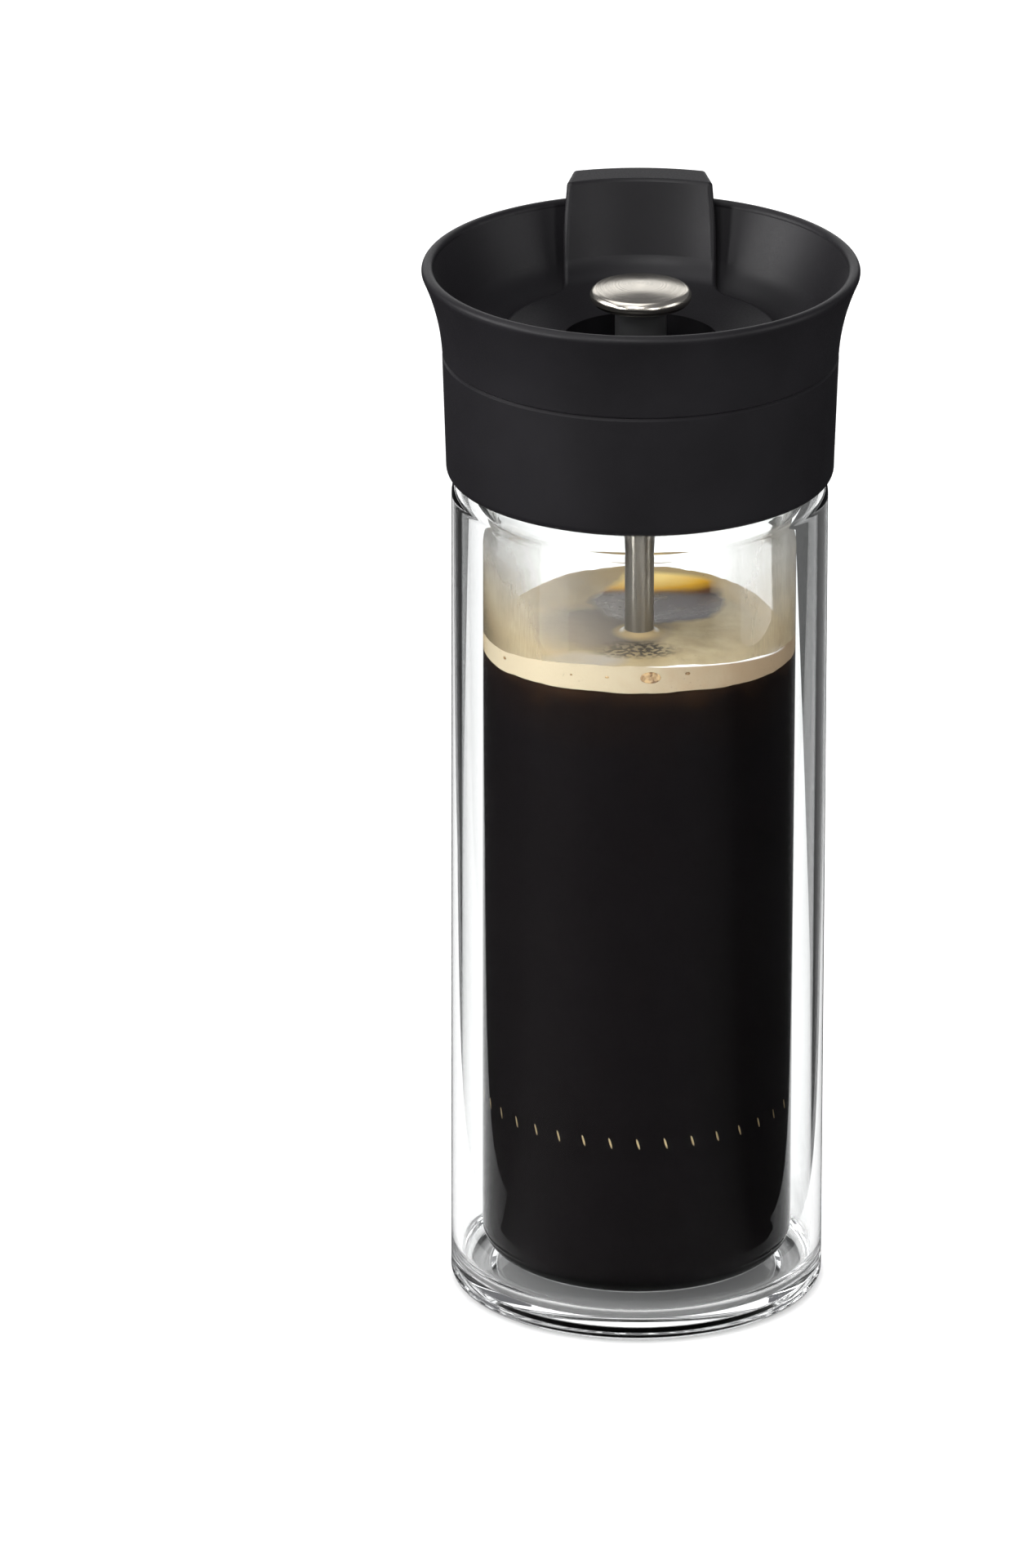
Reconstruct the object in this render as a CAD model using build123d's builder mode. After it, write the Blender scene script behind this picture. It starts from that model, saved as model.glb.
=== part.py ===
from build123d import *
import math
import os

os.makedirs("parts", exist_ok=True)

# A glass french press to drink from: a double-wall tumbler, a screw lid with a flared drinking bowl
# and a turning shutter, and a plunger with a coil-edged filter. Millimetres, +Z up, the table at
# z = 0 and everything round the Z axis. The shutter tab and the drinking slot are at +Y.

# Outer glass
glass_radius = 36.0
glass_wall = 2.0
foot_round = 2.0
punt_radius = 27.0
punt_height = 0.8
outer_floor = 3.4
outer_floor_round = 5.0
shoulder_start = 161.5
shoulder_top = 166.0

# Inner glass and its neck
inner_radius = 30.0
inner_wall = 1.8
inner_bottom = 6.3
inner_bottom_round = 6.0
waist_start = 151.6
waist_middle = 155.3
waist_depth = 0.95
neck_start = 163.5
neck_radius = 32.0
neck_wall = 1.9
mouth = 183.0
mouth_round = 0.8

# Gasket between the mouth and the lid
gasket_inner = 29.5
gasket_outer = 32.2
gasket_height = 2.0

# Screw collar
collar_bottom = 165.7
collar_bottom_radius = 37.0
collar_bottom_round = 1.6
seam = 189.8
seam_radius = 37.8
seam_bevel = 0.45
outer_skirt_wall = 1.9
thread_radius = 32.5
inner_skirt_wall = 1.4
inner_skirt_bottom = 168.5
web_bottom = 186.0
snap_rib_outer = 35.4
snap_rib_top = 191.2

# Drinking bowl: the flare outside, the bowl inside, the well round the plunger
lip_outer = (41.66, 205.9)
lip_inner = (39.5, 206.4)
flare_middle = (39.0, 198.1)
bowl_wall_foot = (35.0, 197.1)
bowl_floor = 192.2
bowl_floor_radius = 27.0
dish = 2.1
floor_wall = 2.2
well_radius = 16.4
well_wall = 2.0
well_floor = 185.5
land_inner = 29.3
land_outer = 32.4
snap_groove_outer = 35.6
snap_groove_top = 191.6
boss_radius = 7.0
boss_bottom = 174.6
slot_radius = 28.05
slot_width = 2.2
slot_half_angle = 21.0

# Rod guide
rod_radius = 2.8
running_gap = 0.05
bush_radius = 4.2
bush_flange_radius = 6.6
bush_flange_top = 187.0
bush_bottom = 176.2
seal_section = 1.3
gland_radius = 9.8
gland_bottom = 172.8
gland_top = 180.8

# Shutter: a disc round the plunger, an arm over the slot and a thumb tab over the lip
disc_radius = 26.3
disc_hole = 14.9
disc_top = 194.7
disc_bottom = 192.5
sleeve_radius = 16.1
sleeve_bottom = 186.3
arm_gap = 0.4
tab_face_foot = (31.5, 198.4)
tab_face_top = (35.8, 212.3)
tab_back_foot = (37.0, 206.6)
tab_top_back = 212.9
tab_back_radius = 41.6
tab_underside = 208.2
tab_plan_foot = (14.7, 31.0)
tab_plan_back = (12.0, 42.5)
tab_blend = 7.0
tab_side_round = 14.0
tab_edge_round = 0.8
lug_depth = 1.2
lug_half_angle = 6.0
lug_play = 0.5
lug_bottom = 186.6
lug_height = 1.4
shutter_turn = 90.0
pad_inner = 26.9
pad_outer = 29.3
pad_top = 194.0
pad_gap = 0.3
pad_half_angle = 25.0

# Plunger head
knob_top = 203.8
knob_base = 199.4
knob_crown = (8.55, 202.75)
knob_underside = (8.15, 199.8)
knob_seat_radius = 5.2
stud_radius = 2.0
stud_depth = 2.6
sleeve_neck_radius = 4.9
ring_groove_radius = 4.1
ring_radius = 5.7
ring_bottom = 187.9
ring_height = 1.4

# Filter
spring_height = 38.6
spring_ring_radius = 25.6
spring_coil_radius = 1.95
spring_wire = 0.7
spring_turns = 34
hub_radius = 6.0
hub_top = 42.0
sheet = 0.6
plate_radius = 26.3
plate_seat_radius = 7.0
plate_rise_radius = 12.0
spring_hole = 1.9
flow_hole = 4.0
flow_hole_ring = 17.5
flow_holes = 14
screen_thickness = 0.25
screen_edge_turn = 26.0
cross_thickness = 0.8
cross_radius = 24.4
cross_flange = 2.4
cross_holes = ((8, 9.5, 4.6), (14, 17.6, 5.0))
nut_radius = 5.6
nut_height = 4.0


def half_plane(azimuth):
    """Return the upright plane through the Z axis whose x runs outward at an azimuth in degrees."""
    angle = math.radians(azimuth)
    return Plane(
        origin=(0, 0, 0),
        x_dir=(math.cos(angle), math.sin(angle), 0),
        z_dir=(math.sin(angle), -math.cos(angle), 0),
    )


def ease(start, end):
    """Draw an S of two equal arcs between two points, upright at both ends."""
    way = math.copysign(1, end[1] - start[1])
    middle = ((start[0] + end[0]) / 2, (start[1] + end[1]) / 2)
    first = TangentArc(start, middle, tangent=(0, way))
    TangentArc(middle, end, tangent=first % 1)


def finish(piece, name):
    """Label a piece and write it as its own file."""
    piece.part.label = name
    export_step(piece.part, f"parts/{name}.step")


# The outer glass closes in over the shoulder and is fused to the neck on a narrow band.
outer_inside = glass_radius - glass_wall
with BuildPart() as outer_glass:
    with BuildSketch(Plane.XZ):
        with BuildLine():
            foot = Polyline(
                (0, punt_height),
                (punt_radius, punt_height),
                (punt_radius + 2 * punt_height, 0),
                (glass_radius - foot_round, 0),
            )
            heel = TangentArc(foot @ 1, (glass_radius, foot_round), tangent=(1, 0))
            side = Line(heel @ 1, (glass_radius, shoulder_start))
            shoulder = TangentArc(side @ 1, (neck_radius, shoulder_top), tangent=(0, 1))
            band = Line(shoulder @ 1, (neck_radius, shoulder_top - glass_wall))
            TangentArc((outer_inside, shoulder_start), band @ 1, tangent=(0, 1))
            inside = Line(
                (outer_inside, shoulder_start), (outer_inside, outer_floor + outer_floor_round)
            )
            bottom = TangentArc(
                inside @ 1, (outer_inside - outer_floor_round, outer_floor), tangent=(0, -1)
            )
            Polyline(bottom @ 1, (0, outer_floor), (0, punt_height))
        make_face()
    revolve(axis=Axis.Z)
finish(outer_glass, "outer_glass")

# The inner glass draws in to a waist under the lid, then opens to the single-wall neck.
inner_inside = inner_radius - inner_wall
inner_floor = inner_bottom + inner_wall
inner_floor_round = inner_bottom_round - inner_wall
neck_inside = neck_radius - neck_wall
with BuildPart() as inner_glass:
    with BuildSketch(Plane.XZ):
        with BuildLine():
            under = Line((0, inner_bottom), (inner_radius - inner_bottom_round, inner_bottom))
            corner = TangentArc(
                under @ 1, (inner_radius, inner_bottom + inner_bottom_round), tangent=(1, 0)
            )
            Line(corner @ 1, (inner_radius, waist_start))
            ease((inner_radius, waist_start), (inner_radius - waist_depth, waist_middle))
            ease((inner_radius - waist_depth, waist_middle), (neck_radius, neck_start))
            Line((neck_radius, neck_start), (neck_radius, mouth))
            Line((neck_radius, mouth), (neck_inside, mouth))
            Line((neck_inside, mouth), (neck_inside, neck_start))
            ease((neck_inside, neck_start), (inner_inside - waist_depth, waist_middle))
            ease((inner_inside - waist_depth, waist_middle), (inner_inside, waist_start))
            wall = Line((inner_inside, waist_start), (inner_inside, inner_floor + inner_floor_round))
            bottom = TangentArc(
                wall @ 1, (inner_inside - inner_floor_round, inner_floor), tangent=(0, -1)
            )
            Polyline(bottom @ 1, (0, inner_floor), (0, inner_bottom))
        make_face()
    revolve(axis=Axis.Z)
    fillet(inner_glass.faces().sort_by(Axis.Z)[-1].edges(), mouth_round)
finish(inner_glass, "inner_glass")

# The gasket lies on the mouth, with a bead on its inner edge.
gasket_top = mouth + gasket_height
with BuildPart() as lid_gasket:
    with BuildSketch(Plane.XZ):
        with BuildLine():
            Polyline(
                (gasket_inner, mouth),
                (gasket_outer, mouth),
                (gasket_outer, gasket_top),
                (gasket_inner, gasket_top),
            )
            ThreePointArc(
                (gasket_inner, gasket_top),
                (gasket_inner - 0.5, mouth + gasket_height / 2),
                (gasket_inner, mouth),
            )
        make_face()
    revolve(axis=Axis.Z)
finish(lid_gasket, "lid_gasket")

# The collar is a hoop with an outer and an inner skirt, and a rib on top that snaps into the bowl.
with BuildPart() as screw_collar:
    with BuildSketch(Plane.XZ):
        with BuildLine():
            Polyline(
                (collar_bottom_radius, collar_bottom),
                (seam_radius, seam - seam_bevel),
                (seam_radius - seam_bevel, seam),
                (snap_rib_outer, seam),
                (snap_rib_outer, snap_rib_top),
                (thread_radius + 0.6, snap_rib_top),
                (thread_radius, snap_rib_top - 0.6),
                (thread_radius, inner_skirt_bottom),
                (thread_radius + inner_skirt_wall, inner_skirt_bottom),
                (thread_radius + inner_skirt_wall, web_bottom),
                (seam_radius - outer_skirt_wall - 0.5, web_bottom),
                (collar_bottom_radius - outer_skirt_wall, collar_bottom),
                close=True,
            )
        make_face()
    revolve(axis=Axis.Z)
    hem = screw_collar.edges().group_by(Axis.Z)[0].sort_by(SortBy.RADIUS)[-1]
    fillet(hem, collar_bottom_round)
finish(screw_collar, "screw_collar")

# The drinking bowl flares out to a rolled lip and falls towards the middle. A land under it presses the
# gasket, a well holds the shutter's sleeve, and a boss carries the rod guide.
well_outside = well_radius + well_wall
well_under = well_floor - well_wall
with BuildPart() as drinking_rim:
    with BuildSketch(Plane.XZ):
        with BuildLine():
            flare = ThreePointArc((seam_radius, seam + seam_bevel), flare_middle, lip_outer)
            TangentArc(lip_outer, lip_inner, tangent=flare % 1)
            Line(lip_inner, bowl_wall_foot)
            TangentArc((bowl_floor_radius, bowl_floor), bowl_wall_foot, tangent=(1, 0))
            Polyline(
                (bowl_floor_radius, bowl_floor),
                (well_radius, bowl_floor - dish),
                (well_radius, well_floor),
                (bush_radius, well_floor),
                (bush_radius, boss_bottom),
                (boss_radius, boss_bottom),
                (boss_radius, well_under),
                (well_outside, well_under),
                (well_outside, bowl_floor - floor_wall - dish),
                (land_inner, bowl_floor - floor_wall),
                (land_inner, gasket_top),
                (land_outer, gasket_top),
                (land_outer, snap_groove_top),
                (snap_groove_outer, snap_groove_top),
                (snap_groove_outer, seam),
                (seam_radius - seam_bevel, seam),
                (seam_radius, seam + seam_bevel),
            )
        make_face()
    revolve(axis=Axis.Z)
    # The drinking slot, open to the glass inside the land.
    with BuildSketch(Plane.XY.offset(bowl_floor - floor_wall - 1)):
        with BuildLine():
            slot_line = CenterArc((0, 0), slot_radius, 90 - slot_half_angle, 2 * slot_half_angle)
        SlotArc(slot_line, slot_width)
    extrude(amount=floor_wall + 3, mode=Mode.SUBTRACT)
    # Three grooves in the well hold the shutter's lugs and end its quarter turn.
    for azimuth in range(30, 390, 120):
        with BuildSketch(half_plane(azimuth - lug_half_angle - lug_play)):
            with Locations((well_radius, lug_bottom + lug_height / 2)):
                Rectangle(2 * lug_depth, lug_height + 2 * lug_play)
        revolve(
            axis=Axis.Z,
            revolution_arc=shutter_turn + 2 * (lug_half_angle + lug_play),
            mode=Mode.SUBTRACT,
        )
finish(drinking_rim, "drinking_rim")

# The guide bush hangs in the boss by its flange, which is the plunger's lower stop.
rod_bore = rod_radius + running_gap
with BuildPart() as guide_bush:
    with BuildSketch(Plane.XZ):
        with BuildLine():
            Polyline(
                (rod_bore, bush_bottom),
                (bush_radius, bush_bottom),
                (bush_radius, well_floor),
                (bush_flange_radius, well_floor),
                (bush_flange_radius, bush_flange_top - 0.5),
                (bush_flange_radius - 0.5, bush_flange_top),
                (rod_bore, bush_flange_top),
                close=True,
            )
        make_face()
    revolve(axis=Axis.Z)
finish(guide_bush, "guide_bush")

# The rod seal is a plain ring under the bush.
with BuildPart() as rod_seal:
    with BuildSketch(Plane.XZ):
        with Locations((rod_bore + seal_section / 2, bush_bottom - seal_section / 2)):
            Circle(seal_section / 2)
    revolve(axis=Axis.Z)
finish(rod_seal, "rod_seal")

# The gland nut is a six-sided cap that closes the boss from below.
with BuildPart() as gland_nut:
    with BuildSketch(Plane.XY.offset(gland_bottom)):
        RegularPolygon(gland_radius, 6)
    extrude(amount=gland_top - gland_bottom)
    fillet(gland_nut.edges().filter_by(Axis.Z), 1.0)
    chamfer(gland_nut.faces().sort_by(Axis.Z)[0].edges(), 0.6)
    with BuildSketch(Plane.XY.offset(gland_top)):
        Circle(boss_radius)
    extrude(amount=boss_bottom - gland_top, mode=Mode.SUBTRACT)
    with BuildSketch(Plane.XY.offset(gland_bottom)):
        Circle(rod_bore + 0.4)
    extrude(amount=boss_bottom - gland_bottom, mode=Mode.SUBTRACT)
finish(gland_nut, "gland_nut")

# The shutter's section, turned all the way round and then cut to its outline from above.
bowl_round = (bowl_wall_foot[0] - bowl_floor_radius) ** 2 + (bowl_wall_foot[1] - bowl_floor) ** 2
bowl_round /= 2 * (bowl_wall_foot[1] - bowl_floor)
bowl_round_centre = bowl_floor + bowl_round
wall_turn = 2 * math.atan2(bowl_wall_foot[1] - bowl_floor, bowl_wall_foot[0] - bowl_floor_radius)
arm_round = bowl_round - arm_gap
arm_heel = (
    bowl_floor_radius + arm_round * math.sin(wall_turn),
    bowl_round_centre - arm_round * math.cos(wall_turn),
)
with BuildPart() as closure_form:
    with BuildSketch(Plane.XZ):
        with BuildLine():
            top = Line((disc_hole, disc_top - dish), (bowl_floor_radius, disc_top))
            TangentArc(top @ 1, tab_face_foot, tangent=top % 1)
            Line(tab_face_foot, tab_face_top)
            Polyline(
                tab_face_top,
                (tab_back_radius, tab_top_back),
                (tab_back_radius, tab_underside),
                (tab_back_foot[0] + 1.2, tab_underside),
                tab_back_foot,
                arm_heel,
            )
            TangentArc(
                (bowl_floor_radius, bowl_round_centre - arm_round), arm_heel, tangent=(1, 0)
            )
            Polyline(
                (bowl_floor_radius, bowl_round_centre - arm_round),
                (disc_radius - 2, disc_bottom),
                (sleeve_radius, disc_bottom - dish),
                (sleeve_radius, sleeve_bottom),
                (disc_hole, sleeve_bottom),
                (disc_hole, disc_top - dish),
            )
        make_face()
    revolve(axis=Axis.Z)
    with BuildSketch(Plane.XY.offset(sleeve_bottom - 1)) as plan:
        Circle(disc_radius)
        with BuildLine():
            Polyline(
                (-tab_plan_foot[0], 0),
                (-tab_plan_foot[0], tab_plan_foot[1]),
                (-tab_plan_back[0], tab_plan_back[1]),
                tab_plan_back,
                tab_plan_foot,
                (tab_plan_foot[0], 0),
                close=True,
            )
        make_face()
        fillet([v for v in plan.vertices() if 20 < v.Y < 24], tab_blend)
        fillet(plan.vertices().filter_by_position(Axis.Y, 30.9, 31.1), tab_side_round)
    extrude(amount=tab_top_back - sleeve_bottom + 2, mode=Mode.INTERSECT)
    # The rounding of the tab's top runs on down both sides and round the disc.
    fillet(closure_form.edges().filter_by_position(Axis.Z, 209, 213.5), tab_edge_round)
    for azimuth in range(30, 390, 120):
        with BuildSketch(half_plane(azimuth - lug_half_angle)):
            with Locations((sleeve_radius, lug_bottom + lug_height / 2)):
                Rectangle(2 * (lug_depth - lug_play / 2), lug_height)
        revolve(axis=Axis.Z, revolution_arc=2 * lug_half_angle)

# The shutter's pad is let into the underside of the arm, over the drinking slot.
pad_round = bowl_round - pad_gap
pad_base = bowl_floor + pad_gap
pad_outer_base = bowl_round_centre - math.sqrt(pad_round**2 - (pad_outer - bowl_floor_radius) ** 2)
with BuildPart() as closure_pad:
    with BuildSketch(half_plane(90 - pad_half_angle)):
        with BuildLine():
            Polyline(
                (bowl_floor_radius, pad_base),
                (pad_inner, pad_base),
                (pad_inner, pad_top),
                (pad_outer, pad_top),
                (pad_outer, pad_outer_base),
            )
            TangentArc((bowl_floor_radius, pad_base), (pad_outer, pad_outer_base), tangent=(1, 0))
        make_face()
    revolve(axis=Axis.Z, revolution_arc=2 * pad_half_angle)
finish(closure_pad, "closure_pad")

with BuildPart() as closure_lever:
    add(closure_form.part)
    add(closure_pad.part, mode=Mode.SUBTRACT)
finish(closure_lever, "closure_lever")

# The knob is a turned button with a low crown and a blind hole for the rod's stud.
stud_bore = stud_radius + running_gap
with BuildPart() as plunger_knob:
    with BuildSketch(Plane.XZ):
        with BuildLine():
            crown = TangentArc((0, knob_top), knob_crown, tangent=(1, 0))
            TangentArc(crown @ 1, knob_underside, tangent=crown % 1)
            Polyline(
                knob_underside,
                (knob_seat_radius, knob_base),
                (stud_bore, knob_base),
                (stud_bore, knob_base + stud_depth + running_gap),
                (0, knob_base + stud_depth + running_gap),
                (0, knob_top),
            )
        make_face()
    revolve(axis=Axis.Z)
finish(plunger_knob, "plunger_knob")

# The sleeve under the knob stops the plunger on the bush. A soft ring sits in its groove.
ring_top = ring_bottom + ring_height
with BuildPart() as stopper_sleeve:
    with BuildSketch(Plane.XZ):
        with BuildLine():
            Polyline(
                (rod_bore, bush_flange_top),
                (sleeve_neck_radius, bush_flange_top),
                (sleeve_neck_radius, ring_bottom),
                (ring_groove_radius, ring_bottom),
                (ring_groove_radius, ring_top),
                (sleeve_neck_radius, ring_top),
                (sleeve_neck_radius, knob_base),
                (rod_bore, knob_base),
                close=True,
            )
        make_face()
    revolve(axis=Axis.Z)
finish(stopper_sleeve, "stopper_sleeve")

with BuildPart() as stopper_ring:
    with BuildSketch(Plane.XZ):
        with BuildLine():
            Polyline(
                (ring_radius - ring_height / 2, ring_top),
                (ring_groove_radius, ring_top),
                (ring_groove_radius, ring_bottom),
                (ring_radius - ring_height / 2, ring_bottom),
            )
            TangentArc(
                (ring_radius - ring_height / 2, ring_bottom),
                (ring_radius - ring_height / 2, ring_top),
                tangent=(1, 0),
            )
        make_face()
    revolve(axis=Axis.Z)
finish(stopper_ring, "stopper_ring")

# The filter is stacked round the rod's lower stud, from the screen in the middle outwards.
screen_round = spring_coil_radius + spring_wire / 2 + 0.2
screen_top = spring_height - screen_round
screen_bottom = screen_top - screen_thickness
cross_bottom = screen_bottom - cross_thickness
nut_bottom = cross_bottom - nut_height
seat_top = screen_top + sheet

# The rod carries the knob on one stud and the filter on the other.
with BuildPart() as plunger_rod:
    with BuildSketch(Plane.XZ):
        with BuildLine():
            Polyline(
                (0, nut_bottom + 1.2),
                (stud_radius, nut_bottom + 1.2),
                (stud_radius, hub_top),
                (rod_radius, hub_top),
                (rod_radius, knob_base),
                (stud_radius, knob_base),
                (stud_radius, knob_base + stud_depth),
                (0, knob_base + stud_depth),
                close=True,
            )
        make_face()
    revolve(axis=Axis.Z)
finish(plunger_rod, "plunger_rod")

with BuildPart() as filter_hub:
    with BuildSketch(Plane.XZ):
        with BuildLine():
            rim = Line((hub_radius, seat_top), (hub_radius, seat_top + 1.4))
            neck = TangentArc((rod_radius + 1, hub_top), rim @ 1, tangent=(0, -1))
            Polyline(neck @ 0, (stud_bore, hub_top), (stud_bore, seat_top), rim @ 0)
        make_face()
    revolve(axis=Axis.Z)
finish(filter_hub, "filter_hub")

# The dished upper plate carries the spring, which is threaded through a ring of holes at its edge.
plate_bottom = spring_height - sheet / 2
spring_hole_ring = spring_ring_radius - spring_coil_radius
first_hole = 90 + 180 / spring_turns
with BuildPart() as pressure_plate:
    with BuildSketch(Plane.XZ):
        with BuildLine():
            Polyline(
                (stud_bore, screen_top),
                (plate_seat_radius, screen_top),
                (plate_rise_radius, plate_bottom),
                (plate_radius, plate_bottom),
                (plate_radius, plate_bottom + sheet),
                (plate_rise_radius, plate_bottom + sheet),
                (plate_seat_radius, seat_top),
                (stud_bore, seat_top),
                close=True,
            )
        make_face()
    revolve(axis=Axis.Z)
    with BuildSketch(Plane.XY.offset(plate_bottom - 1)):
        with PolarLocations(spring_hole_ring, spring_turns, start_angle=first_hole):
            Circle(spring_hole / 2)
        with PolarLocations(flow_hole_ring, flow_holes):
            Circle(flow_hole / 2)
    extrude(amount=sheet + 2, mode=Mode.SUBTRACT)
finish(pressure_plate, "pressure_plate")


def spring_place(half_turns):
    """Return the spring's point and direction after a number of half turns, from the back."""
    ring = math.pi / 2 + math.pi * half_turns / spring_turns
    coil = -math.pi * half_turns
    reach = spring_ring_radius + spring_coil_radius * math.cos(coil)
    outward = spring_turns * spring_coil_radius * math.sin(coil)
    rise = -spring_turns * spring_coil_radius * math.cos(coil)
    place = Vector(
        reach * math.cos(ring),
        reach * math.sin(ring),
        spring_height + spring_coil_radius * math.sin(coil),
    )
    heading = Vector(
        outward * math.cos(ring) - reach * math.sin(ring),
        outward * math.sin(ring) + reach * math.cos(ring),
        rise,
    )
    return place, heading.normalized()


def two_arcs(start, start_way, end, end_way):
    """Draw two tangent arcs of equal reach between two points with given directions."""
    span = end - start
    both = span.dot(start_way + end_way)
    spread = 2 * (1 - start_way.dot(end_way))
    reach = (math.sqrt(both**2 + spread * span.dot(span)) - both) / spread
    joint = (start + end + (start_way - end_way) * reach) / 2
    first = TangentArc(start, joint, tangent=start_way)
    TangentArc(joint, end, tangent=first % 1)


# The edge spring is one wire wound round the plate's edge, its two ends apart at the back.
with BuildPart() as edge_spring:
    with BuildLine() as winding:
        for half_turn in range(2 * spring_turns - 1):
            two_arcs(*spring_place(half_turn), *spring_place(half_turn + 1))
    wire_path = winding.wire()
    with BuildSketch(Plane(origin=wire_path @ 0, z_dir=wire_path % 0)):
        RegularPolygon(spring_wire / 2, 6)
    sweep(path=wire_path, clean=False)
finish(edge_spring, "edge_spring")

wire_points = []
for arc in winding.edges():
    wire_points += [arc @ 0, arc @ 0.5]
spring_gap = min(
    (one - other).length - spring_wire
    for index, one in enumerate(wire_points)
    for other in wire_points[index + 4 :]
)
print(f"least gap of the spring to itself: {spring_gap:.2f} mm")

# The screen lies flat and cups the spring from below at its edge.
turn = math.radians(screen_edge_turn)
with BuildPart() as mesh_screen:
    with BuildSketch(Plane.XZ):
        with BuildLine():
            lower = screen_round + screen_thickness
            flat = Line((stud_bore, screen_bottom), (spring_ring_radius, screen_bottom))
            edge = (
                spring_ring_radius + lower * math.sin(turn),
                spring_height - lower * math.cos(turn),
            )
            lip = (
                spring_ring_radius + screen_round * math.sin(turn),
                spring_height - screen_round * math.cos(turn),
            )
            TangentArc(flat @ 1, edge, tangent=(1, 0))
            Line(edge, lip)
            TangentArc((spring_ring_radius, screen_top), lip, tangent=(1, 0))
            Polyline((spring_ring_radius, screen_top), (stud_bore, screen_top), flat @ 0)
        make_face()
    revolve(axis=Axis.Z)
finish(mesh_screen, "mesh_screen")

# The cross plate stiffens the screen from below, with a turned-down edge and two rings of holes.
with BuildPart() as cross_plate:
    with BuildSketch(Plane.XZ):
        with BuildLine():
            Polyline(
                (stud_bore, screen_bottom),
                (cross_radius, screen_bottom),
                (cross_radius, screen_bottom - cross_flange),
                (cross_radius - cross_thickness, screen_bottom - cross_flange),
                (cross_radius - cross_thickness, cross_bottom),
                (stud_bore, cross_bottom),
                close=True,
            )
        make_face()
    revolve(axis=Axis.Z)
    with BuildSketch(Plane.XY.offset(cross_bottom - 1)):
        for count, ring, diameter in cross_holes:
            with PolarLocations(ring, count):
                Circle(diameter / 2)
    extrude(amount=cross_thickness + 2, mode=Mode.SUBTRACT)
finish(cross_plate, "cross_plate")

# A cap nut closes the stack from below.
with BuildPart() as filter_nut:
    with BuildSketch(Plane.XY.offset(nut_bottom)):
        RegularPolygon(nut_radius, 6)
    extrude(amount=nut_height)
    fillet(filter_nut.edges().filter_by(Axis.Z), 0.8)
    fillet(filter_nut.faces().sort_by(Axis.Z)[0].edges(), 1.0)
    with BuildSketch(Plane.XY.offset(cross_bottom)):
        Circle(stud_bore)
    extrude(amount=1.2 - running_gap - nut_height, mode=Mode.SUBTRACT)
finish(filter_nut, "filter_nut")
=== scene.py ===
import logging
import math
from abc import ABC, abstractmethod
from collections.abc import Sequence
from dataclasses import dataclass
from enum import Enum

import bmesh
import bpy
from mathutils import Matrix, Vector, noise


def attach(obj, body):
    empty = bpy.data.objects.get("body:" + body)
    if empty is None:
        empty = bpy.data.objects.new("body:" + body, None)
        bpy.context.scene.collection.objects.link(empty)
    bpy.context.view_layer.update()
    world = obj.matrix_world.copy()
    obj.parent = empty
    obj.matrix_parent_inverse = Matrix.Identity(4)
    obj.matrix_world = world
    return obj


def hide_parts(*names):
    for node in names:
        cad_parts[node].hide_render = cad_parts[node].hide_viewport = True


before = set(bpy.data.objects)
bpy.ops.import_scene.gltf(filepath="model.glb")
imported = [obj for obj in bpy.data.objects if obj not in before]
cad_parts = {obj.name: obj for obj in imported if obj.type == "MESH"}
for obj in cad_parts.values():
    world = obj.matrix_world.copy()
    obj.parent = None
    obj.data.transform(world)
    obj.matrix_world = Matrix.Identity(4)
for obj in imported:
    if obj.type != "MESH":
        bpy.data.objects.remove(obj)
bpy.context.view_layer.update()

LOG = logging.getLogger("french_press")
MM = 0.001

Colour = tuple[float, float, float]
Stop = tuple[float, Colour]
Outline = tuple[tuple[float, float], ...]


class Body(Enum):
    """Moving bodies of the frame that new pieces ride on."""

    VESSEL = "vessel"
    PLUNGER = "plunger"


class Slot(Enum):
    """Material slots of the record."""

    CLEAR_GLASS = "clear_glass"
    SPRING_STEEL = "spring_steel"


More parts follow.
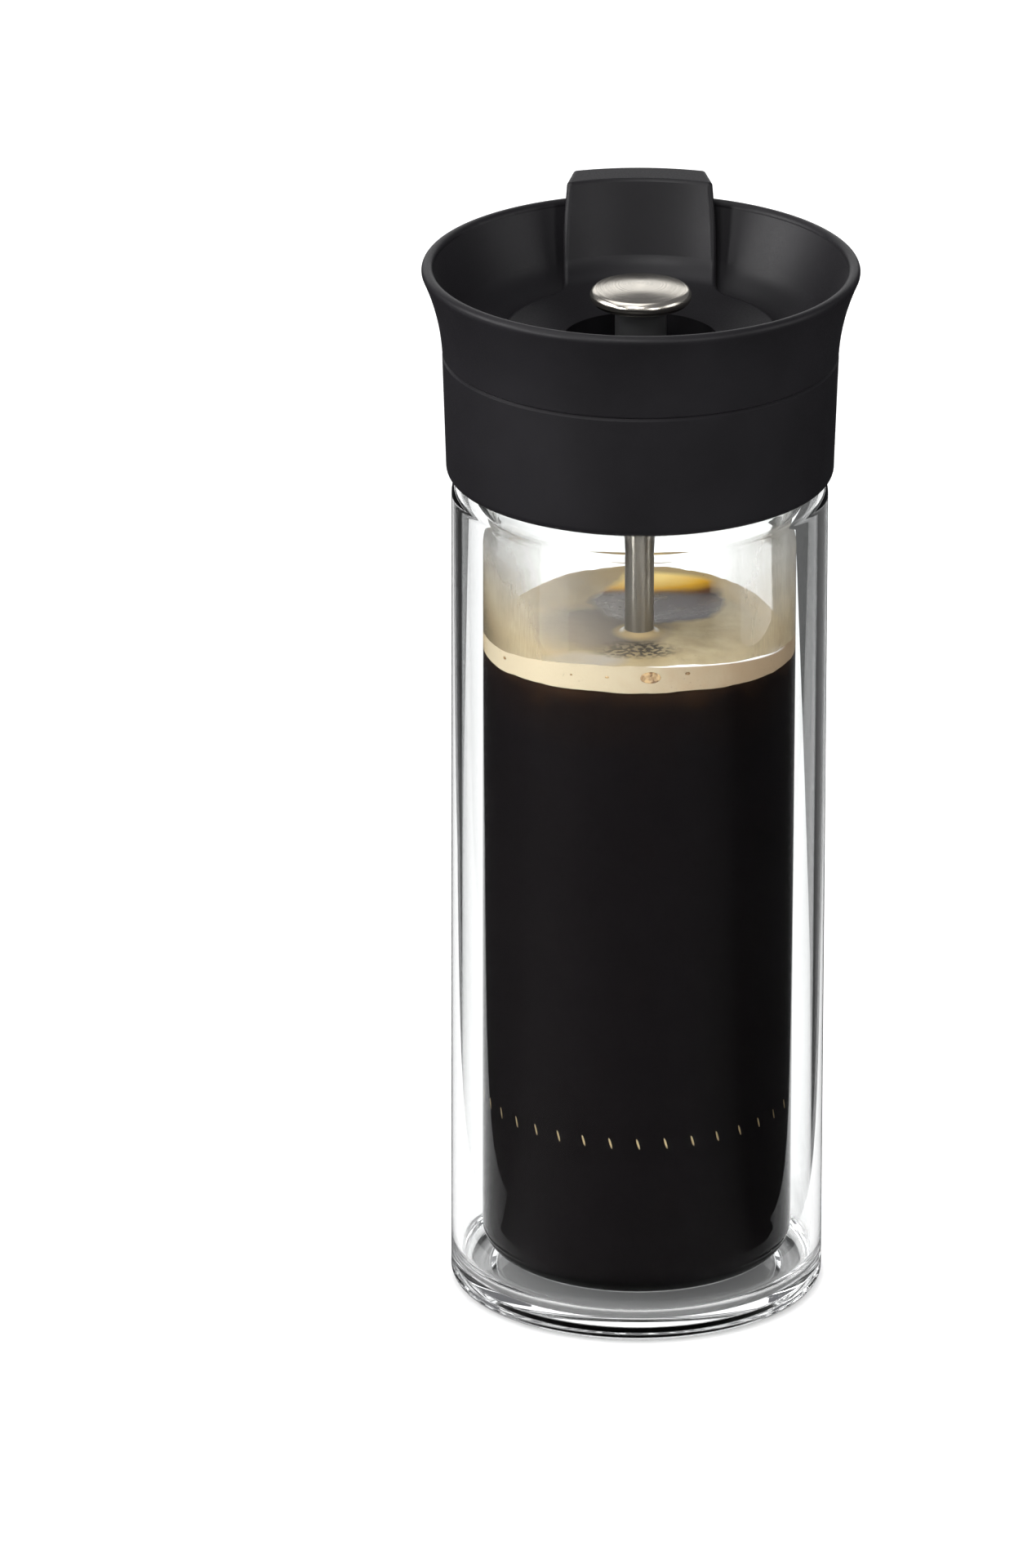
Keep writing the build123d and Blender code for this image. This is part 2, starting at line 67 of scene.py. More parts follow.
class Graph:
    """The node graph of one material, with short calls for the nodes that finishes use."""

    def __init__(self, name: str) -> None:
        """Starts a material on a principled shader.

        Args:
            name: The material's name.
        """
        self.material = bpy.data.materials.new(name)
        self.material.use_nodes = True
        self.tree = self.material.node_tree
        self.shader = self.tree.nodes["Principled BSDF"]
        self.place = self.node("ShaderNodeTexCoord", {}).outputs["Object"]

    def node(
        self, kind: str, inputs: dict[str | int, object], **settings: object
    ) -> bpy.types.Node:
        """Adds a node.

        Args:
            kind: The node's type name.
            inputs: Values or sockets for its inputs.
            settings: Properties of the node.

        Returns:
            The new node.
        """
        made = self.tree.nodes.new(kind)
        for key, value in settings.items():
            setattr(made, key, value)
        self.fill(made, inputs)
        return made

    def fill(self, target: bpy.types.Node, inputs: dict[str | int, object]) -> None:
        """Sets a node's inputs.

        Args:
            target: The node.
            inputs: Values, which are set, or sockets, which are linked, by input name or number.
        """
        for key, value in inputs.items():
            if isinstance(value, bpy.types.NodeSocket):
                self.tree.links.new(value, target.inputs[key])
            else:
                target.inputs[key].default_value = value

    def surface(self, **inputs: object) -> None:
        """Sets the shader's inputs, named with underscores for spaces."""
        self.fill(self.shader, {key.replace("_", " "): value for key, value in inputs.items()})

    def grain(
        self,
        per_mm: float,
        detail: float = 3.0,
        stretch: tuple[float, float, float] = (1.0, 1.0, 1.0),
    ) -> bpy.types.NodeSocket:
        """Adds a noise over the piece.

        Args:
            per_mm: How many waves of it there are in a millimetre.
            detail: How many finer octaves it has.
            stretch: How much closer the waves are along each axis.

        Returns:
            The noise's value, about 0.5 on average.
        """
        spread = self.node("ShaderNodeMapping", {"Vector": self.place, "Scale": stretch})
        made = self.node(
            "ShaderNodeTexNoise",
            {"Vector": spread.outputs["Vector"], "Scale": per_mm / MM, "Detail": detail},
        )
        return made.outputs["Fac"]

    def ramp(self, value: bpy.types.NodeSocket, *stops: Stop) -> bpy.types.NodeSocket:
        """Turns a value from 0 to 1 into a colour.

        Args:
            value: The value.
            stops: Places on the way and their colours.

        Returns:
            The colour.
        """
        made = self.node("ShaderNodeValToRGB", {"Fac": value})
        elements = made.color_ramp.elements
        while len(elements) < len(stops):
            elements.new(0.5)
        for element, (place, colour) in zip(elements, stops):
            element.position = place
            element.color = (*colour, 1.0)
        return made.outputs["Color"]

    def span(
        self,
        value: bpy.types.NodeSocket,
        start: tuple[float, float],
        end: tuple[float, float],
    ) -> bpy.types.NodeSocket:
        """Maps one range of a value on another, held at both ends.

        Args:
            value: The value.
            start: The range it has.
            end: The range it gets.

        Returns:
            The mapped value.
        """
        made = self.node(
            "ShaderNodeMapRange",
            {"Value": value, 1: start[0], 2: start[1], 3: end[0], 4: end[1]},
        )
        return made.outputs["Result"]

    def sum(self, operation: str, *values: object) -> bpy.types.NodeSocket:
        """Adds a sum of one or two values.

        Args:
            operation: The math node's operation.
            values: Values or sockets.

        Returns:
            The result.
        """
        made = self.node("ShaderNodeMath", dict(enumerate(values)), operation=operation)
        return made.outputs["Value"]

    def mix(self, share: object, first: object, second: object) -> bpy.types.NodeSocket:
        """Mixes two colours.

        Args:
            share: How much of the second there is.
            first: The first colour.
            second: The second colour.

        Returns:
            The mixed colour.
        """
        made = self.node("ShaderNodeMix", {0: share, 6: first, 7: second}, data_type="RGBA")
        return made.outputs[2]

    def axes(self) -> tuple[bpy.types.NodeSocket, ...]:
        """Returns: The x, y and z of the point on the piece, in metres."""
        return tuple(self.node("ShaderNodeSeparateXYZ", {"Vector": self.place}).outputs)

    def reach(self) -> bpy.types.NodeSocket:
        """Returns: The point's distance from the axis, in metres."""
        x, y, _ = self.axes()
        squares = self.sum("ADD", self.sum("MULTIPLY", x, x), self.sum("MULTIPLY", y, y))
        return self.sum("SQRT", squares)

    def relief(self, height: bpy.types.NodeSocket, depth_mm: float, strength: float = 1.0) -> None:
        """Gives the surface a fine relief.

        Args:
            height: The relief's height, from 0 to 1.
            depth_mm: The depth of the relief.
            strength: How much of it shows.
        """
        made = self.node(
            "ShaderNodeBump", {"Height": height, "Distance": depth_mm * MM, "Strength": strength}
        )
        self.surface(Normal=made.outputs["Normal"])


@dataclass(frozen=True)
class Finish(ABC):
    """A procedural finish on object coordinates."""

    name: str

    @abstractmethod
    def paint(self, graph: Graph) -> None:
        """Fills the finish's node graph.

        Args:
            graph: The graph to fill.
        """

    def material(self) -> bpy.types.Material:
        """Returns: The finish's material, made when it is first asked for."""
        known = bpy.data.materials.get(self.name)
        if known:
            return known
        graph = Graph(self.name)
        self.paint(graph)
        return graph.material


@dataclass(frozen=True)
class ClearGlass(Finish):
    """Clear blown glass with a trace of handling on it."""

    index: float = 1.47
    tint: Colour = (0.985, 0.992, 0.99)
    glint: Colour = (0.03, 0.03, 0.03)

    def paint(self, graph: Graph) -> None:
        """Fills the finish's node graph.

        Args:
            graph: The graph to fill.
        """
        trace = graph.grain(0.06)
        faint = tuple(0.99 * part for part in self.tint)
        graph.surface(
            Base_Color=graph.ramp(trace, (0.35, self.tint), (0.7, faint)),
            Roughness=graph.span(trace, (0.5, 0.75), (0.0, 0.012)),
            IOR=self.index,
            Specular_Tint=(*self.glint, 1.0),
            Transmission_Weight=1.0,
        )


@dataclass(frozen=True)
class MoldedPlastic(Finish):
    """Moulded plastic with a fine matt grain."""

    dark: Colour = (0.0068, 0.0062, 0.0074)
    light: Colour = (0.0100, 0.0092, 0.0110)
    roughness: tuple[float, float] = (0.40, 0.52)
    grain_per_mm: float = 4.0
    grain_mm: float = 0.02

    def paint(self, graph: Graph) -> None:
        """Fills the finish's node graph.

        Args:
            graph: The graph to fill.
        """
        cloud = graph.grain(0.05)
        fine = graph.grain(self.grain_per_mm, 2.0)
        graph.surface(
            Base_Color=graph.ramp(cloud, (0.3, self.dark), (0.7, self.light)),
            Roughness=graph.span(fine, (0.3, 0.7), self.roughness),
            Specular_IOR_Level=0.25,
        )
        graph.relief(fine, self.grain_mm, 0.35)


@dataclass(frozen=True)
class Silicone(Finish):
    """Soft rubbery seal with a dusty sheen."""

    dark: Colour = (0.16, 0.16, 0.158)
    light: Colour = (0.22, 0.22, 0.215)

    def paint(self, graph: Graph) -> None:
        """Fills the finish's node graph.

        Args:
            graph: The graph to fill.
        """
        cloud = graph.grain(0.4)
        graph.surface(
            Base_Color=graph.ramp(cloud, (0.3, self.dark), (0.7, self.light)),
            Roughness=graph.span(cloud, (0.2, 0.8), (0.5, 0.65)),
            Sheen_Weight=0.15,
        )


@dataclass(frozen=True)
class TurnedSteel(Finish):
    """Stainless steel with the fine rings of the lathe."""

    colour: Colour = (0.68, 0.64, 0.565)
    rings_per_mm: float = 3.2

    def paint(self, graph: Graph) -> None:
        """Fills the finish's node graph.

        Args:
            graph: The graph to fill.
        """
        rings = graph.node(
            "ShaderNodeTexNoise",
            {"W": graph.sum("MULTIPLY", graph.reach(), self.rings_per_mm / MM), "Scale": 1.0},
            noise_dimensions="1D",
        ).outputs["Fac"]
        wear = graph.grain(0.3)
        deep = tuple(0.9 * part for part in self.colour)
        graph.surface(
            Base_Color=graph.ramp(wear, (0.3, deep), (0.7, self.colour)),
            Roughness=graph.span(rings, (0.3, 0.7), (0.16, 0.26)),
            Metallic=1.0,
            Anisotropic=0.55,
            Tangent=graph.node("ShaderNodeTangent", {}, axis="Z").outputs["Tangent"],
        )
        graph.relief(rings, 0.004, 0.5)


@dataclass(frozen=True)
class DrawnSteel(Finish):
    """Drawn stainless steel with fine streaks along the axis."""

    colour: Colour = (0.40, 0.375, 0.34)
    roughness: tuple[float, float] = (0.08, 0.15)
    streaks: tuple[float, float, float] = (1.0, 1.0, 0.02)
    spread: float = 0.0

    def paint(self, graph: Graph) -> None:
        """Fills the finish's node graph.

        Args:
            graph: The graph to fill.
        """
        streak = graph.grain(3.0, 3.0, self.streaks)
        deep = tuple(0.82 * part for part in self.colour)
        graph.surface(
            Base_Color=graph.ramp(streak, (0.3, deep), (0.7, self.colour)),
            Roughness=graph.span(streak, (0.3, 0.7), self.roughness),
            Metallic=1.0,
            Anisotropic=self.spread,
            Anisotropic_Rotation=0.25,
            Tangent=graph.node("ShaderNodeTangent", {}, axis="Z").outputs["Tangent"],
        )


@dataclass(frozen=True)
class WovenWire(Finish):
    """Fine woven wire, drawn as two crossing sets of round wires."""

    wires_per_mm: float = 3.0
    light: Colour = (0.58, 0.56, 0.53)
    gap: Colour = (0.05, 0.046, 0.042)

    def paint(self, graph: Graph) -> None:
        """Fills the finish's node graph.

        Args:
            graph: The graph to fill.
        """
        x, y, _ = graph.axes()
        pitch = math.pi * self.wires_per_mm / MM
        warp = graph.sum("ABSOLUTE", graph.sum("SINE", graph.sum("MULTIPLY", x, pitch)))
        weft = graph.sum("ABSOLUTE", graph.sum("SINE", graph.sum("MULTIPLY", y, pitch)))
        wires = graph.sum("MAXIMUM", warp, weft)
        graph.surface(
            Base_Color=graph.ramp(wires, (0.55, self.gap), (0.85, self.light)),
            Roughness=graph.span(wires, (0.5, 1.0), (0.6, 0.3)),
            Metallic=1.0,
        )
        graph.relief(wires, 0.08, 0.6)


@dataclass(frozen=True)
class BrewedCoffee(Finish):
    """Black coffee, brown where the light gets in under the foam."""

    top_mm: float = 134.0
    fade_mm: float = 16.0
    black: Colour = (0.0034, 0.0028, 0.0030)
    deep: Colour = (0.0050, 0.0034, 0.0031)
    brown: Colour = (0.022, 0.0115, 0.006)

    def paint(self, graph: Graph) -> None:
        """Fills the finish's node graph.

        Args:
            graph: The graph to fill.
        """
        height = graph.span(
            graph.axes()[2], ((self.top_mm - self.fade_mm) * MM, self.top_mm * MM), (0.0, 1.0)
        )
        cloud = graph.span(graph.grain(0.12), (0.3, 0.7), (-0.12, 0.12))
        graph.surface(
            Base_Color=graph.ramp(
                graph.sum("ADD", height, cloud),
                (0.05, self.black),
                (0.6, self.deep),
                (1.0, self.brown),
            ),
            Roughness=0.4,
            Specular_IOR_Level=0.0,
        )


@dataclass(frozen=True)
class Pool:
    """An oval area of the foam. Sizes are in millimetres.

    Attributes:
        middle: Its middle in x and y.
        half: Half its width and depth.
        fade: Where its edge starts and ends, as squares of the share of its size.
    """

    middle: tuple[float, float]
    half: tuple[float, float]
    fade: tuple[float, float]

    def share(self, graph: Graph, sway: bpy.types.NodeSocket) -> bpy.types.NodeSocket:
        """Finds the pool.

        Args:
            graph: The graph to add to.
            sway: A wandering value about 0.

        Returns:
            1 inside the pool and 0 outside.
        """
        squares = []
        for axis, middle, half in zip(graph.axes(), self.middle, self.half):
            offset = graph.sum("DIVIDE", graph.sum("SUBTRACT", axis, middle * MM), half * MM)
            squares.append(graph.sum("MULTIPLY", offset, offset))
        shape = graph.sum("ADD", graph.sum("ADD", *squares), graph.sum("MULTIPLY", sway, 0.1))
        return graph.span(shape, self.fade, (1.0, 0.0))


@dataclass(frozen=True)
class CoffeeFoam(Finish):
    """Foam on the coffee: cream at the glass, beige on top and open at the back, with painted
    light on it: a grey reflection of the lid, a pale sheen, a glint round the rod and a highlight
    along the crest.

    The opening shows clear coffee, golden where light comes through it from behind and
    grey-violet towards the front. Sizes are in millimetres.
    """

    cream: Colour = (0.335, 0.284, 0.198)
    shaded: Colour = (0.28, 0.205, 0.13)
    tan: Colour = (0.46, 0.34, 0.17)
    beige: Colour = (0.52, 0.43, 0.27)
    dull: Colour = (0.26, 0.19, 0.10)
    # Grey of the painted reflection of the dark lid on the foam top.
    grey: Colour = (0.125, 0.105, 0.102)
    # Pale colour of the painted sheen on the foam top.
    painted_sheen_colour: Colour = (0.43, 0.40, 0.365)
    speck: Colour = (0.035, 0.027, 0.02)
    violet: Colour = (0.055, 0.040, 0.044)
    amber: Colour = (0.12, 0.045, 0.010)
    gold: Colour = (0.52, 0.28, 0.02)
    straw: Colour = (0.76, 0.58, 0.22)
    # Near-white of the painted glint round the rod and the painted highlight along the crest.
    wet: Colour = (0.95, 0.94, 0.92)
    level: float = 133.2
    reach_mm: float = 28.27
    opening: Pool = Pool((3.8, 16.3), (13.3, 11.8), (0.85, 1.12))
    # Painted reflection of the dark lid on the foam top, left of the rod.
    painted_lid_reflection: Pool = Pool((-8.0, 2.0), (13.5, 13.5), (0.45, 1.3))
    # Painted sheen on the foam top at the front left.
    painted_sheen: Pool = Pool((-11.0, -15.5), (8.5, 5.0), (0.3, 1.25))
    scum: Pool = Pool((-1.0, -9.6), (9.0, 4.8), (0.3, 1.15))

    def top(self, graph: Graph, sway: bpy.types.NodeSocket) -> bpy.types.NodeSocket:
        """Colours the flat top of the foam, with a painted reflection of the lid, a painted sheen
        and a painted glint round the rod.

        Args:
            graph: The graph to add to.
            sway: A wandering value about 0.

        Returns:
            The colour.
        """
        x = graph.axes()[0]
        fine = graph.grain(0.9, 3.0)
        swayed = graph.sum("ADD", x, graph.sum("MULTIPLY", sway, 4.0 * MM))
        sides = graph.span(swayed, (-14.0 * MM, 12.0 * MM), (0.0, 1.0))
        colour = graph.mix(sides, (*self.tan, 1.0), (*self.beige, 1.0))
        cloud = graph.span(graph.grain(0.16, 4.0), (0.42, 0.68), (0.0, 0.45))
        colour = graph.mix(cloud, colour, (*self.dull, 1.0))
        # Painted reflection: grey where the dark lid is mirrored on the foam top.
        colour = graph.mix(self.painted_lid_reflection.share(graph, sway), colour, (*self.grey, 1.0))
        # Painted sheen: a pale patch at the front left of the foam top.
        colour = graph.mix(self.painted_sheen.share(graph, sway), colour, (*self.painted_sheen_colour, 1.0))
        dots = graph.span(fine, (0.47, 0.54), (1.0, 0.3))
        scum = graph.sum("MULTIPLY", self.scum.share(graph, sway), dots)
        colour = graph.mix(scum, colour, (*self.speck, 1.0))
        foot = graph.span(graph.reach(), (3.6 * MM, 5.6 * MM), (0.9, 0.0))
        colour = graph.mix(foot, colour, (*self.tan, 1.0))
        # Painted glint: a near-white ring round the back of the rod, fading towards the front.
        painted_glint_halo = graph.sum(
            "MULTIPLY",
            graph.span(graph.reach(), (3.3 * MM, 4.0 * MM), (0.9, 0.0)),
            graph.span(graph.axes()[1], (-1.5 * MM, 0.5 * MM), (0.0, 1.0)),
        )
        return graph.mix(painted_glint_halo, colour, (*self.wet, 1.0))

    def edge(self, graph: Graph) -> bpy.types.NodeSocket:
        """Colours the foam at the glass, with a painted highlight along its crest at the front
        right.

        Args:
            graph: The graph to add to.

        Returns:
            The colour.
        """
        x, y, z = graph.axes()
        mottle = graph.span(graph.grain(0.35, 4.0), (0.3, 0.7), (-5.0 * MM, 5.0 * MM))
        side = graph.span(graph.sum("ADD", x, mottle), (-4.0 * MM, 20.0 * MM), (0.0, 1.0))
        front = graph.mix(side, (*self.cream, 1.0), (*self.shaded, 1.0))
        behind = graph.span(y, (-6.0 * MM, 6.0 * MM), (0.0, 1.0))
        colour = graph.mix(behind, front, (*self.tan, 1.0))
        # Painted highlight: a near-white line along the crest of the foam at the front right.
        share = graph.sum("DIVIDE", y, self.reach_mm * MM)
        rise = graph.sum("MULTIPLY", graph.sum("MULTIPLY", share, share), 3.4 * MM)
        over = graph.sum("SUBTRACT", graph.sum("SUBTRACT", z, self.level * MM), rise)
        crest = graph.span(over, (-0.1 * MM, 0.15 * MM), (0.0, 1.0))
        right = graph.span(x, (1.0 * MM, 5.0 * MM), (0.0, 1.0))
        near = graph.span(y, (-15.0 * MM, -9.0 * MM), (1.0, 0.0))
        painted_highlight_line = graph.sum("MULTIPLY", graph.sum("MULTIPLY", crest, right), near)
        return graph.mix(painted_highlight_line, colour, (*self.wet, 1.0))

    def paint(self, graph: Graph) -> None:
        """Fills the finish's node graph.

        Args:
            graph: The graph to fill.
        """
        _, y, z = graph.axes()
        sway = graph.span(graph.grain(0.18, 4.0), (0.3, 0.7), (-1.5, 1.5))
        cells = graph.node(
            "ShaderNodeTexVoronoi", {"Vector": graph.place, "Scale": 1.1 / MM}
        ).outputs["Distance"]
        swayed = graph.sum("ADD", graph.reach(), graph.sum("MULTIPLY", sway, MM))
        rim = graph.span(swayed, (24.0 * MM, 27.0 * MM), (0.0, 1.0))
        foam = graph.mix(rim, self.top(graph, sway), self.edge(graph))
        patch = graph.span(graph.grain(0.2, 2.0), (0.48, 0.6), (0.0, 0.8))
        specks = graph.sum("MULTIPLY", graph.span(cells, (0.06, 0.16), (1.0, 0.0)), patch)
        foam = graph.mix(specks, foam, (*self.speck, 1.0))
        low = graph.span(z, ((self.level + 1.6) * MM, (self.level + 2.3) * MM), (1.0, 0.0))
        clear = graph.sum("MULTIPLY", self.opening.share(graph, sway), low)
        depth = graph.span(y, (19.0 * MM, 28.0 * MM), (0.0, 1.0))
        coffee = graph.ramp(
            depth,
            (0.0, self.violet),
            (0.12, self.violet),
            (0.3, self.amber),
            (0.5, self.gold),
            (0.8, self.straw),
        )
        glow = graph.ramp(depth, (0.3, (0.0, 0.0, 0.0)), (0.55, self.gold), (0.85, self.straw))
        graph.surface(
            Base_Color=graph.mix(clear, foam, coffee),
            Roughness=graph.span(clear, (0.0, 1.0), (0.6, 0.25)),
            IOR=graph.span(clear, (0.0, 1.0), (1.15, 1.3)),
            Emission_Color=graph.mix(clear, (0.0, 0.0, 0.0, 1.0), glow),
            Emission_Strength=0.35,
        )
        graph.relief(graph.span(cells, (0.0, 0.6), (0.0, 1.0)), 0.1, 0.2)


@dataclass(frozen=True)
class BubbleSkin(Finish):
    """Thin brown skin of a bubble, lighter where it bulges."""

    dark: Colour = (0.11, 0.055, 0.018)
    light: Colour = (0.36, 0.24, 0.11)

    def paint(self, graph: Graph) -> None:
        """Fills the finish's node graph.

        Args:
            graph: The graph to fill.
        """
        streak = graph.grain(0.9, 2.0)
        graph.surface(
            Base_Color=graph.ramp(streak, (0.4, self.dark), (0.62, self.light)),
            Roughness=0.15,
            Coat_Weight=0.6,
        )


@dataclass(frozen=True)
class SteamFilm(Finish):
    """Fine drops on glass, thick at the left, thin towards the top and brown near the foam.

    Heights are in millimetres.
    """

    colour: Colour = (0.33, 0.325, 0.31)
    bright: Colour = (0.42, 0.405, 0.37)
    beige: Colour = (0.36, 0.295, 0.19)
    brown: Colour = (0.085, 0.067, 0.040)
    bottom_mm: float = 136.0
    top_mm: float = 164.0
    haze_top_mm: float = 158.0
    thickest: float = 0.7
    right_share: float = 0.8
    brown_share: float = 1.0

    def paint(self, graph: Graph) -> None:
        """Fills the finish's node graph.

        Args:
            graph: The graph to fill.
        """
        x, y, z = graph.axes()
        side = graph.ramp(
            graph.span(
                graph.sum("ADD", x, graph.sum("MULTIPLY", y, 0.35)), (-0.03, 0.03), (0.0, 1.0)
            ),
            (0.0, (1.0, 1.0, 1.0)),
            (0.1, (0.85, 0.85, 0.85)),
            (0.2, (0.5, 0.5, 0.5)),
            (0.34, (0.12, 0.12, 0.12)),
            (0.5, (0.03, 0.03, 0.03)),
            (0.85, (0.05, 0.05, 0.05)),
            (1.0, (0.5, 0.5, 0.5)),
        )
        height = graph.span(z, (self.bottom_mm * MM, self.top_mm * MM), (1.0, 0.25))
        cloud = graph.span(graph.grain(0.12, 4.0), (0.3, 0.7), (0.75, 1.0))
        drops = graph.span(graph.grain(3.6, 2.0, (1.0, 1.0, 0.1)), (0.3, 0.7), (0.82, 1.0))
        left = graph.sum("MULTIPLY", graph.sum("MULTIPLY", side, height), self.thickest)
        inset = graph.sum("SUBTRACT", x, graph.sum("MULTIPLY", y, 0.3))
        right = graph.sum(
            "MULTIPLY",
            graph.span(inset, (20.0 * MM, 28.0 * MM), (0.0, self.right_share)),
            graph.span(z, (150.0 * MM, 163.0 * MM), (1.0, 0.5)),
        )
        haze = graph.sum(
            "MULTIPLY",
            graph.span(z, (self.bottom_mm * MM, self.haze_top_mm * MM), (self.brown_share, 0.0)),
            graph.span(x, (-29.0 * MM, -17.0 * MM), (1.0, 0.0)),
        )
        film = graph.sum("ADD", graph.sum("MAXIMUM", left, right), haze)
        tone = graph.span(x, (-10.0 * MM, 10.0 * MM), (0.0, 1.0))
        steam = graph.mix(tone, (*self.colour, 1.0), (*self.bright, 1.0))
        low = graph.span(z, (138.0 * MM, 153.0 * MM), (1.0, 0.0))
        steam = graph.mix(low, steam, (*self.beige, 1.0))
        graph.surface(
            Base_Color=graph.mix(haze, steam, (*self.brown, 1.0)),
            Roughness=0.6,
            Specular_IOR_Level=0.0,
            Alpha=graph.sum(
                "MINIMUM", graph.sum("MULTIPLY", film, graph.sum("MULTIPLY", cloud, drops)), 0.95
            ),
        )


@dataclass(frozen=True)
class StudioCard(Finish):
    """Plain card of an even brightness."""

    colour: Colour
    glow: float

    def paint(self, graph: Graph) -> None:
        """Fills the finish's node graph.

        Args:
            graph: The graph to fill.
        """
        lighter = tuple(1.02 * part for part in self.colour)
        graph.surface(
            Base_Color=graph.ramp(graph.grain(0.002), (0.3, self.colour), (0.7, lighter)),
            Roughness=0.9,
            Specular_IOR_Level=0.0,
            Emission_Color=(1.0, 1.0, 1.0, 1.0),
            Emission_Strength=self.glow,
        )


@dataclass(frozen=True)
class Surround(StudioCard):
    """Card round the object whose brightness changes with the direction.

    Attributes:
        stops: Directions from the front, to the right, in degrees, and the brightness there.
    """

    stops: tuple[tuple[float, float], ...] = ()

    def paint(self, graph: Graph) -> None:
        """Fills the finish's node graph.

        Args:
            graph: The graph to fill.
        """
        super().paint(graph)
        x, y, _ = graph.axes()
        turn = graph.sum("ARCTAN2", x, graph.sum("MULTIPLY", y, -1.0))
        share = graph.span(turn, (-math.pi, math.pi), (0.0, 1.0))
        ramp = [(0.5 + angle / 360.0, (glow, glow, glow)) for angle, glow in self.stops]
        graph.surface(Emission_Color=graph.ramp(share, *ramp), Emission_Strength=1.0)


@dataclass(frozen=True)
class PaleFloor(StudioCard):
    """Pale studio floor with a painted shadow under the object. Radii are in millimetres."""

    shade: float = 0.06
    shade_radius: float = 33.5
    shade_fade: float = 4.0

    def paint(self, graph: Graph) -> None:
        """Fills the finish's node graph.

        Args:
            graph: The graph to fill.
        """
        super().paint(graph)
        # Painted shadow: darker colour and weaker glow under the object.
        fade = (self.shade_radius * MM, (self.shade_radius + self.shade_fade) * MM)
        share = graph.span(graph.reach(), fade, (0.0, 1.0))
        dark = tuple(0.3 * part for part in self.colour)
        graph.surface(
            Base_Color=graph.ramp(share, (0.0, dark), (1.0, self.colour)),
            Emission_Strength=graph.span(share, (0.0, 1.0), (self.shade, self.glow)),
        )


CLEAR_GLASS = ClearGlass("finish_clear_glass")
INNER_GLASS = ClearGlass("finish_inner_glass", 1.12)
BLACK_PLASTIC = MoldedPlastic("finish_black_plastic")
GREY_PLASTIC = MoldedPlastic(
    "finish_grey_plastic", (0.035, 0.035, 0.036), (0.05, 0.05, 0.051), (0.35, 0.45)
)
SILICONE = Silicone("finish_silicone")
TURNED_STEEL = TurnedSteel("finish_turned_steel")
DRAWN_STEEL = DrawnSteel("finish_drawn_steel", (0.27, 0.248, 0.22), (0.27, 0.33), spread=0.9)
SHEET_STEEL = DrawnSteel("finish_sheet_steel", streaks=(1.0, 0.03, 1.0))
SPRING_STEEL = DrawnSteel("finish_spring_steel", (0.62, 0.48, 0.26), (0.25, 0.4), (1.0, 1.0, 1.0))
SCREEN_STEEL = WovenWire("finish_screen_steel")
COFFEE = BrewedCoffee("finish_coffee")
FOAM = CoffeeFoam("finish_foam")
BUBBLES = BubbleSkin("finish_bubbles")
MIST = SteamFilm("finish_mist")
FLOOR = PaleFloor("finish_floor", (0.4, 0.4, 0.4), 0.9)
SURROUND = Surround(
    "finish_surround",
    (0.01, 0.01, 0.01),
    0.0,
    (
        (-180.0, 0.02),
        (-120.0, 0.02),
        (-90.0, 0.05),
        (-75.0, 0.15),
        (-60.0, 0.6),
        (-45.0, 1.0),
        (-25.0, 1.1),
        (35.0, 1.0),
        (62.0, 0.02),
        (135.0, 0.02),
        (150.0, 0.12),
        (180.0, 0.12),
    ),
)
LEFT_STRIP = StudioCard("finish_left_strip", (0.4, 0.4, 0.4), 26.0)
RIGHT_STRIP = StudioCard("finish_right_strip", (0.4, 0.4, 0.4), 6.0)


@dataclass(frozen=True)
class Corner:
    """A corner of a turned section, in millimetres.

    Attributes:
        radius: Distance from the axis.
        height: Distance above the floor.
        cut: How far a rounding reaches along both edges, or 0 for a sharp corner.
    """

    radius: float
    height: float
    cut: float = 0.0


class Shaper:
    """Makes meshes with bmesh operators and links them as objects."""

    @staticmethod
    def link(name: str, shape: bmesh.types.BMesh, sharp_degrees: float = 35.0) -> bpy.types.Object:
        """Turns a shape into an object.

        Args:
            name: The object's name.
            shape: The shape, which is freed.
            sharp_degrees: The turn between faces above which their edge stays sharp.

        Returns:
            The object, smooth and linked to the scene.
        """
        bmesh.ops.remove_doubles(shape, verts=shape.verts, dist=1e-6)
        bmesh.ops.recalc_face_normals(shape, faces=shape.faces)
        mesh = bpy.data.meshes.new(name)
        shape.to_mesh(mesh)
        shape.free()
        mesh.polygons.foreach_set("use_smooth", [True] * len(mesh.polygons))
        mesh.set_sharp_from_angle(angle=math.radians(sharp_degrees))
        made = bpy.data.objects.new(name, mesh)
        bpy.context.scene.collection.objects.link(made)
        return made

    @staticmethod
    def turned(
        corners: Sequence[Corner], steps: int = 160, closed: bool = True, segments: int = 8
    ) -> bmesh.types.BMesh:
        """Spins a section round the axis.

        Args:
            corners: The section's corners in order.
            steps: How many faces there are round the axis.
            closed: Whether the last corner joins the first.
            segments: How many faces there are across a rounding.

        Returns:
            The turned shape.
        """
        shape = bmesh.new()
        points = [shape.verts.new((c.radius * MM, 0.0, c.height * MM)) for c in corners]
        pairs = list(zip(points, points[1:]))
        if closed:
            pairs.append((points[-1], points[0]))
        for pair in pairs:
            shape.edges.new(pair)
        for point, corner in zip(points, corners):
            if corner.cut:
                bmesh.ops.bevel(
                    shape,
                    geom=[point],
                    offset=corner.cut * MM,
                    offset_type="OFFSET",
                    affect="VERTICES",
                    segments=segments,
                    profile=0.5,
                    material=-1,
                )
        bmesh.ops.spin(
            shape,
            geom=[*shape.verts, *shape.edges],
            cent=(0.0, 0.0, 0.0),
            axis=(0.0, 0.0, 1.0),
            angle=math.tau,
            steps=steps,
            use_merge=True,
        )
        return shape


